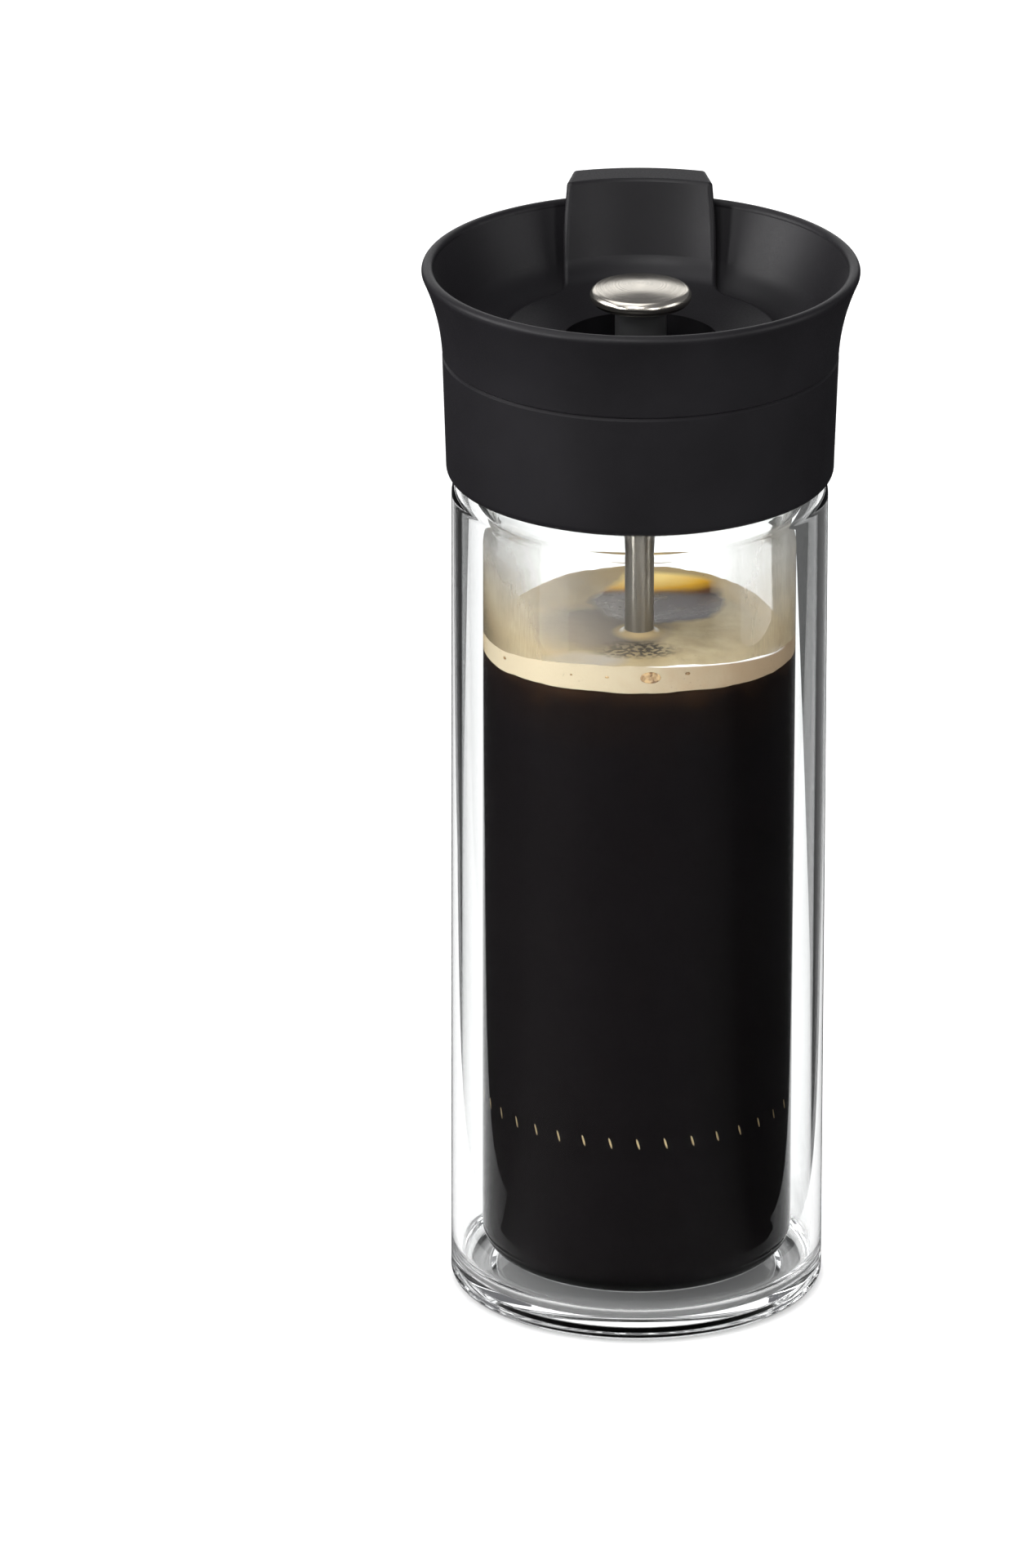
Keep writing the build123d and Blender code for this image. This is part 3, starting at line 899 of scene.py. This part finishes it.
def dress(
    piece: bpy.types.Object,
    finish: Finish,
    body: Body,
    stands_for: Sequence[str] = (),
) -> bpy.types.Object:
    """Gives a new piece its finish and its body.

    Args:
        piece: The piece.
        finish: Its finish.
        body: The body it rides on.
        stands_for: The CAD nodes that it stands for.

    Returns:
        The piece.
    """
    piece.data.materials.clear()
    piece.data.materials.append(finish.material())
    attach(piece, body.value)
    if stands_for:
        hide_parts(*stands_for)
    LOG.info("%s: %d faces on %s", piece.name, len(piece.data.polygons), body.value)
    return piece


def paint_node(node: str, finish: Finish) -> None:
    """Gives a CAD node its finish.

    Args:
        node: The node's name.
        finish: The finish.
    """
    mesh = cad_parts[node].data
    mesh.materials.clear()
    mesh.materials.append(finish.material())
    LOG.info("%s: CAD node in %s", node, finish.name)


@dataclass
class Vessel:
    """The double-wall glass and the coffee in it. Sizes are in millimetres."""

    outer_radius: float = 36.0
    outer_wall: float = 2.0
    inner_radius: float = 30.0
    inner_wall: float = 1.8
    neck_radius: float = 32.0
    neck_inside: float = 30.1
    inner_floor: float = 8.1
    mouth: float = 183.0
    round_steps: int = 192
    coffee_top: float = 132.6
    wetting: float = 0.05
    foam_depth: float = 0.6
    foam_proud: float = 0.02
    foam_under: float = 1.2
    drawn_climb: float = 3.5
    side_climb: float = 0.4
    front_climb: float = 3.3
    back_climb: float = 2.5
    bubble_places: tuple[tuple[float, float, float], ...] = (
        (1.9, 134.5, 1.95),
        (8.8, 134.9, 0.5),
        (-6.2, 134.4, 0.4),
        (-12.8, 134.0, 0.28),
        (-24.9, 132.9, 0.5),
    )

    @property
    def wet(self) -> float:
        """Returns: The radius that the coffee wets, just inside the inner wall's face."""
        return self.inner_radius - self.inner_wall + self.wetting

    def outer_glass(self) -> bpy.types.Object:
        """Returns: The outer wall, closed to the neck at its shoulder."""
        out, wall = self.outer_radius, self.outer_radius - self.outer_wall
        shape = Shaper.turned(
            (
                Corner(0.0, 0.8),
                Corner(27.0, 0.8, 0.4),
                Corner(28.6, 0.0, 0.4),
                Corner(out, 0.0, 2.0),
                Corner(out, 165.528, 4.0),
                Corner(self.neck_radius, 166.0),
                Corner(self.neck_radius, 164.0),
                Corner(wall, 163.55, 2.0),
                Corner(wall, 3.4, 5.0),
                Corner(0.0, 3.4),
            ),
            self.round_steps,
            closed=False,
            segments=16,
        )
        piece = Shaper.link("outer_wall", shape)
        piece.visible_shadow = False
        return dress(piece, CLEAR_GLASS, Body.VESSEL, ["outer_glass"])

    def inner_glass(self) -> bpy.types.Object:
        """Returns: The inner wall, its waist and the neck."""
        out, wall = self.inner_radius, self.inner_radius - self.inner_wall
        shape = Shaper.turned(
            (
                Corner(0.0, 6.3),
                Corner(out, 6.3, 6.0),
                Corner(out, 152.53, 0.9),
                Corner(28.88, 157.3, 1.33),
                Corner(self.neck_radius, 161.83, 2.81),
                Corner(self.neck_radius, self.mouth, 0.8),
                Corner(self.neck_inside, self.mouth, 0.8),
                Corner(self.neck_inside, 161.2, 2.81),
                Corner(27.08, 156.68, 1.33),
                Corner(wall, 151.91, 0.9),
                Corner(wall, self.inner_floor, 4.2),
                Corner(0.0, self.inner_floor),
            ),
            self.round_steps,
            closed=False,
            segments=16,
        )
        piece = Shaper.link("inner_wall", shape)
        piece.visible_shadow = False
        return dress(piece, INNER_GLASS, Body.VESSEL, ["inner_glass"])

    def coffee(self) -> bpy.types.Object:
        """Returns: The coffee up to the foam, wetting the inner wall."""
        bottom = self.inner_floor - self.wetting
        shape = Shaper.turned(
            (
                Corner(0.0, bottom),
                Corner(self.wet, bottom, 4.2),
                Corner(self.wet, self.coffee_top),
                Corner(0.0, self.coffee_top),
            ),
            self.round_steps,
            closed=False,
        )
        return dress(Shaper.link("coffee", shape), COFFEE, Body.VESSEL)

    def foam(self) -> bpy.types.Object:
        """Returns: The foam, climbing the glass all round and the rod a little."""
        wet = self.wet + self.foam_proud
        level = self.coffee_top + self.foam_depth
        under = level - self.foam_under
        rings = [Corner(5.0 + 1.2 * step, level) for step in range(17)]
        shape = Shaper.turned(
            (
                Corner(2.9, under),
                Corner(2.9, level + 0.8),
                Corner(3.2, level + 0.45),
                Corner(3.9, level + 0.12),
                *rings,
                Corner(25.2, level + 0.35),
                Corner(26.1, level + 1.1),
                Corner(26.9, level + 2.1),
                Corner(27.5, level + 2.9),
                Corner(27.9, level + 3.3),
                Corner(wet, level + self.drawn_climb),
                Corner(wet, under),
                Corner(26.0, under),
            ),
            256,
        )
        bmesh.ops.remove_doubles(shape, verts=shape.verts, dist=1e-6)
        for vert in shape.verts:
            place = vert.co.copy()
            ahead = place.y / max(place.xy.length, MM)
            sway = noise.noise(place * 130.0) * 0.35 + noise.noise(place * 520.0) * 0.12
            if place.z < (level - 1.0) * MM:
                sway -= 0.6 + 1.4 * (1.0 - ahead**2)
            elif place.xy.length < 5.0 * MM:
                sway *= 0.2
            elif place.xy.length > 25.0 * MM:
                climb = self.front_climb * ahead**2
                if ahead >= 0.0:
                    climb = self.back_climb * ahead**1.3
                rise = self.side_climb + climb
                sway += (place.z / MM - level) * (rise / self.drawn_climb - 1.0)
            vert.co.z += sway * MM
        return dress(Shaper.link("foam", shape, 60.0), FOAM, Body.VESSEL)

    def mist(self) -> bpy.types.Object:
        """Returns: The film of condensed steam on the inner wall above the foam."""
        shape = Shaper.turned(
            (
                Corner(self.wet, self.coffee_top + 0.4),
                Corner(self.wet, 151.91, 0.9),
                Corner(27.13, 156.68, 1.33),
                Corner(29.4, 160.1),
            ),
            self.round_steps,
            closed=False,
        )
        return dress(Shaper.link("mist", shape), MIST, Body.VESSEL)

    def bubbles(self) -> bpy.types.Object:
        """Returns: The few large bubbles in the foam at the glass."""
        wet = self.wet + self.foam_proud
        shape = bmesh.new()
        for x, z, half in self.bubble_places:
            angle = math.asin(x / wet)
            face = Matrix.Rotation(angle, 4, "Z") @ Matrix.Translation((0.0, -wet * MM, z * MM))
            size = Matrix.Diagonal((half * MM, 0.12 * MM, 0.6 * half * MM, 1.0))
            bmesh.ops.create_icosphere(shape, subdivisions=3, radius=1.0, matrix=face @ size)
        return dress(Shaper.link("foam_bubbles", shape, 180.0), BUBBLES, Body.VESSEL)

    def build(self) -> None:
        """Builds and dresses the vessel."""
        self.outer_glass()
        self.inner_glass()
        self.coffee()
        self.foam()
        self.bubbles()
        self.mist()


@dataclass
class Lid:
    """The screw collar, the drinking bowl and the rod guide."""

    def build(self) -> None:
        """Dresses the lid."""
        for node in ("screw_collar", "drinking_rim", "gland_nut"):
            paint_node(node, BLACK_PLASTIC)
        paint_node("guide_bush", GREY_PLASTIC)
        paint_node("rod_seal", SILICONE)
        paint_node("lid_gasket", SILICONE)


@dataclass
class Closure:
    """The turning shutter with its thumb tab."""

    def build(self) -> None:
        """Dresses the shutter."""
        paint_node("closure_lever", BLACK_PLASTIC)
        paint_node("closure_pad", SILICONE)


@dataclass
class Plunger:
    """The knob, the rod and the filter at its foot. Sizes are in millimetres."""

    spring_height: float = 38.6
    ring_radius: float = 25.6
    coil_radius: float = 1.95
    wire: float = 0.7
    turns: int = 34
    steps_per_turn: int = 20
    mark_radius: float = 28.32
    mark_half: tuple[float, float, float] = (1.15, 0.04, 0.2)
    mark_lean: float = 16.0

    def spring_place(self, turn: float) -> Matrix:
        """Finds where the spring's wire is.

        Args:
            turn: How many turns it is from its start at the back.

        Returns:
            The place and direction of the wire's section.
        """
        around = math.pi / 2 + math.tau * turn / self.turns
        coil = -math.tau * turn
        outward = Vector((math.cos(around), math.sin(around), 0.0))
        along = Vector((-math.sin(around), math.cos(around), 0.0))
        up = Vector((0.0, 0.0, 1.0))
        spoke = outward * math.cos(coil) + up * math.sin(coil)
        reach = self.ring_radius + self.coil_radius * math.cos(coil)
        sweep = outward * math.sin(coil) - up * math.cos(coil)
        heading = (along * reach + sweep * self.coil_radius * self.turns).normalized()
        side = spoke.cross(heading).normalized()
        middle = outward * self.ring_radius + up * self.spring_height
        place = (middle + spoke * self.coil_radius) * MM
        turned = Matrix((heading.cross(side), side, heading)).transposed()
        return Matrix.Translation(place) @ turned.to_4x4()

    def edge_spring(self) -> bpy.types.Object:
        """Returns: The round wire wound round the filter's edge."""
        shape = bmesh.new()
        section = bmesh.ops.create_circle(
            shape, cap_ends=True, segments=8, radius=self.wire / 2 * MM
        )
        loop = list(section["verts"])
        here = self.spring_place(0.0)
        bmesh.ops.transform(shape, matrix=here, verts=loop)
        count = round((self.turns - 0.5) * self.steps_per_turn)
        edges = list(shape.edges)
        for step in range(1, count + 1):
            there = self.spring_place(step / self.steps_per_turn)
            grown = bmesh.ops.extrude_edge_only(shape, edges=edges)["geom"]
            moved = [part for part in grown if isinstance(part, bmesh.types.BMVert)]
            edges = [
                part
                for part in grown
                if isinstance(part, bmesh.types.BMEdge)
                and part.verts[0] in moved
                and part.verts[1] in moved
            ]
            bmesh.ops.transform(shape, matrix=there @ here.inverted(), verts=moved)
            here = there
        bmesh.ops.contextual_create(shape, geom=edges)
        piece = Shaper.link("coil_spring", shape, 60.0)
        return dress(piece, SPRING_STEEL, Body.PLUNGER, ["edge_spring"])

    def spring_marks(self) -> bpy.types.Object:
        """Returns: The marks that the spring's turns press on the wet glass."""
        shape = bmesh.new()
        long, thick, wide = (part * MM for part in self.mark_half)
        for turn in range(self.turns):
            around = Matrix.Rotation(math.tau * turn / self.turns, 4, "Z")
            place = Matrix.Translation((0.0, self.mark_radius * MM, self.spring_height * MM))
            lean = Matrix.Rotation(math.radians(self.mark_lean), 4, "Y")
            size = Matrix.Diagonal((wide, thick, long, 1.0))
            bmesh.ops.create_icosphere(
                shape, subdivisions=2, radius=1.0, matrix=around @ place @ lean @ size
            )
        return dress(Shaper.link("spring_marks", shape, 180.0), SPRING_STEEL, Body.PLUNGER)

    def build(self) -> None:
        """Builds the spring and dresses the plunger."""
        paint_node("plunger_knob", TURNED_STEEL)
        paint_node("stopper_sleeve", GREY_PLASTIC)
        paint_node("stopper_ring", SILICONE)
        for node in ("plunger_rod", "filter_hub", "filter_nut"):
            paint_node(node, DRAWN_STEEL)
        for node in ("pressure_plate", "cross_plate"):
            paint_node(node, SHEET_STEEL)
        paint_node("mesh_screen", SCREEN_STEEL)
        self.edge_spring()
        self.spring_marks()


@dataclass(frozen=True)
class Lamp:
    """A soft rectangular light. Places and sizes are in metres.

    Attributes:
        name: The light's name.
        place: Where it hangs.
        size: Its width and height.
        power: Its power in watts.
        aim: The point that it faces.
    """

    name: str
    place: tuple[float, float, float]
    size: tuple[float, float]
    power: float
    aim: tuple[float, float, float] = (0.0, 0.0, 0.13)

    def hang(self) -> None:
        """Adds the light to the scene, out of the camera's sight."""
        light = bpy.data.lights.new(self.name, "AREA")
        light.shape = "RECTANGLE"
        light.size, light.size_y = self.size
        light.energy = self.power
        made = bpy.data.objects.new(self.name, light)
        made.location = self.place
        made.rotation_mode = "QUATERNION"
        facing = Vector(self.aim) - Vector(self.place)
        made.rotation_quaternion = facing.to_track_quat("-Z", "Y")
        made.visible_camera = False
        bpy.context.scene.collection.objects.link(made)


@dataclass
class Studio:
    """Floor, light and camera. Sizes are in metres."""

    floor_size: float = 12.0
    floor_drop: float = 0.0001
    card_height: float = 0.002
    left_outline: Outline = (
        (-0.07, 0.0),
        (-0.125, 0.2),
        (-0.125, 0.6),
        (-0.8, 0.6),
        (-0.8, -0.9),
        (-0.42, -0.9),
        (-0.022, -0.047),
        (-0.045, -0.026),
        (-0.052, 0.0),
    )
    right_outline: Outline = (
        (0.058, 0.0),
        (0.083, 0.15),
        (0.083, 0.6),
        (0.8, 0.6),
        (0.8, -0.9),
        (0.63, -0.9),
        (0.030, -0.043),
        (0.045, -0.026),
        (0.052, 0.0),
    )
    strip_reach: tuple[float, float] = (0.43, 1.2)
    strip_lift: float = 0.001
    lamps: tuple[Lamp, ...] = (
        Lamp("key_light", (-0.5, -1.8, 2.0), (1.0, 1.0), 30.0),
        Lamp("top_light", (-0.4, 0.1, 1.6), (1.2, 1.2), 8.0, (0.0, 0.0, 0.1)),
        Lamp("left_light", (-1.35, -0.1, 0.7), (0.7, 0.8), 14.0),
        Lamp("right_light", (1.26, -0.31, 0.6), (0.7, 0.8), 4.0),
        Lamp("back_light", (-0.1, 1.3, 0.6), (1.4, 0.8), 4.0),
        Lamp("front_left_light", (-1.37, -1.23, 0.6), (0.25, 0.6), 14.0),
        Lamp("front_right_light", (0.9, -1.6, 0.9), (0.35, 0.6), 7.0),
    )
    light_bounces: int = 32
    distance: float = 3.0
    elevation: float = 21.31
    roll: float = 0.09
    target: tuple[float, float, float] = (-0.0253, 0.0, 0.1015)
    lens: float = 357.9

    def floor(self) -> None:
        """Lays the floor."""
        shape = bmesh.new()
        bmesh.ops.create_grid(shape, x_segments=1, y_segments=1, size=self.floor_size / 2)
        bmesh.ops.translate(shape, verts=shape.verts, vec=(0.0, 0.0, -self.floor_drop))
        floor = Shaper.link("floor", shape)
        floor.data.materials.append(FLOOR.material())
        floor.visible_glossy = False

    def card(
        self, name: str, finish: Finish, corners: Sequence[tuple[float, float]], lift: float = 0.0
    ) -> None:
        """Lays a card by the floor that only the glass and what is in it sees.

        Args:
            name: The card's name.
            finish: Its finish.
            corners: Its outline in x and y.
            lift: How much higher than the other cards it is.
        """
        shape = bmesh.new()
        points = [shape.verts.new((x, y, self.card_height + lift)) for x, y in corners]
        bmesh.ops.contextual_create(shape, geom=points)
        card = Shaper.link(name, shape)
        card.data.materials.append(finish.material())
        card.visible_camera = False
        card.visible_diffuse = False
        card.visible_glossy = False
        card.visible_shadow = False

    def strip(self, name: str, finish: Finish, start: float, end: float) -> None:
        """Lays a bright card that points away from the object.

        Args:
            name: The card's name.
            finish: Its finish.
            start: The direction of one side, from the front to the right, in degrees.
            end: The direction of the other side.
        """
        near, far = self.strip_reach
        corners = [
            (reach * math.sin(math.radians(turn)), -reach * math.cos(math.radians(turn)))
            for reach, turn in ((near, start), (far, start), (far, end), (near, end))
        ]
        self.card(name, finish, corners, self.strip_lift)

    def sky(self) -> None:
        """Sets the even light from all round."""
        world = bpy.data.worlds.new("studio")
        world.use_nodes = True
        tree = world.node_tree
        way = tree.nodes.new("ShaderNodeTexCoord")
        parts = tree.nodes.new("ShaderNodeSeparateXYZ")
        fade = tree.nodes.new("ShaderNodeValToRGB")
        tree.links.new(way.outputs["Generated"], parts.inputs["Vector"])
        tree.links.new(parts.outputs["Z"], fade.inputs["Fac"])
        tree.links.new(fade.outputs["Color"], tree.nodes["Background"].inputs["Color"])
        fade.color_ramp.elements[0].color = (0.03, 0.03, 0.032, 1.0)
        fade.color_ramp.elements[1].color = (0.16, 0.16, 0.17, 1.0)
        fade.color_ramp.elements[1].position = 0.1
        bpy.context.scene.world = world

    def camera(self) -> None:
        """Sets the camera."""
        lens = bpy.data.cameras.new("camera")
        lens.lens = self.lens
        lens.sensor_width = 36.0
        lens.clip_end = 50.0
        made = bpy.data.objects.new("camera", lens)
        tilt = math.radians(self.elevation)
        back = Vector((0.0, -math.cos(tilt), math.sin(tilt)))
        made.location = Vector(self.target) + back * self.distance
        made.rotation_mode = "QUATERNION"
        facing = (-back).to_track_quat("-Z", "Y").to_matrix()
        rolled = facing @ Matrix.Rotation(math.radians(self.roll), 3, "Z")
        made.rotation_quaternion = rolled.to_quaternion()
        bpy.context.scene.collection.objects.link(made)
        bpy.context.scene.camera = made

    def build(self) -> None:
        """Sets up the studio."""
        self.floor()
        self.sky()
        self.card("left_surround", SURROUND, self.left_outline)
        self.card("right_surround", SURROUND, self.right_outline)
        self.strip("left_strip", LEFT_STRIP, -64.0, -44.0)
        self.strip("right_strip", RIGHT_STRIP, 64.0, 88.0)
        for lamp in self.lamps:
            lamp.hang()
        self.camera()
        bpy.context.scene.view_settings.view_transform = "Standard"
        for kind in ("glossy_bounces", "transmission_bounces", "max_bounces"):
            setattr(bpy.context.scene.cycles, kind, self.light_bounces)


def main() -> None:
    """Builds every sub-assembly and the studio."""
    logging.basicConfig(level=logging.INFO, format="%(message)s")
    for assembly in (Vessel(), Lid(), Closure(), Plunger(), Studio()):
        assembly.build()


if __name__ == "__main__":
    main()
